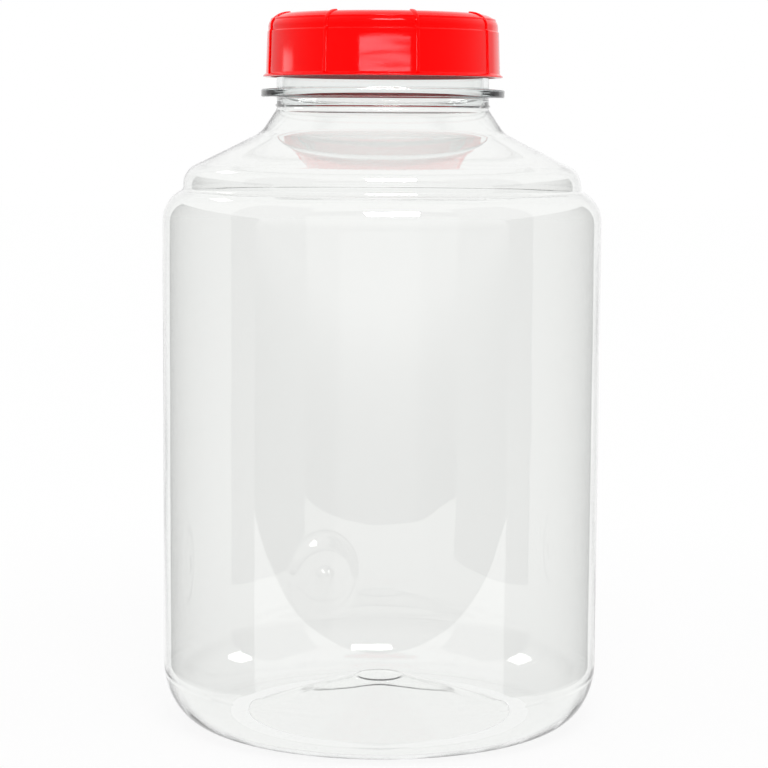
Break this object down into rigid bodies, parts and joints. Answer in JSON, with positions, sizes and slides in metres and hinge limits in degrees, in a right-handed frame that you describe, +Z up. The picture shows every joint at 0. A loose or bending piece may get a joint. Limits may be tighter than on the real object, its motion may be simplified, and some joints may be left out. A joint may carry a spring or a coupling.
{
  "type": "carboy",
  "caption": "Wide-mouth clear plastic carboy: a blown bottle with a stepped shoulder, pushed-up base and pressed-in spigot boss, closed by a ribbed red screw lid over a sealing ring.",
  "frame": {"origin": "on the bottle's axis, in the plane that it stands on", "axes": "+Z up along the axis of the bottle and its screw thread, -Y to the front, +X to the right seen from the front"},
  "size_m": [0.226, 0.2256, 0.3663],
  "materials": {
    "clear_pet": "clear, glossy blown plastic with a very slight blue-green edge",
    "red_moulding": "satin to glossy injection moulding, bright red",
    "white_foam": "smooth closed-cell foam sheet"
  },
  "bodies": {
    "bottle": {"bottle": "clear_pet"},
    "seal": {"lid_seal": "white_foam"},
    "lid": {"lid": "red_moulding"}
  },
  "joints": [
    {"name": "lid_lift", "type": "slide", "parent": "bottle", "child": "seal", "axis": [0, 0, 1], "range_m": [0, 0.028]},
    {"name": "lid_turn", "type": "hinge", "parent": "seal", "child": "lid", "pos_m": [0, 0, 0.35], "axis": [0, 0, 1], "range_deg": [0, 1260]}
  ],
  "couplings": [
    {"joint": "lid_lift", "follows": "lid_turn", "m_per_rad": 0.0012732}
  ]
}
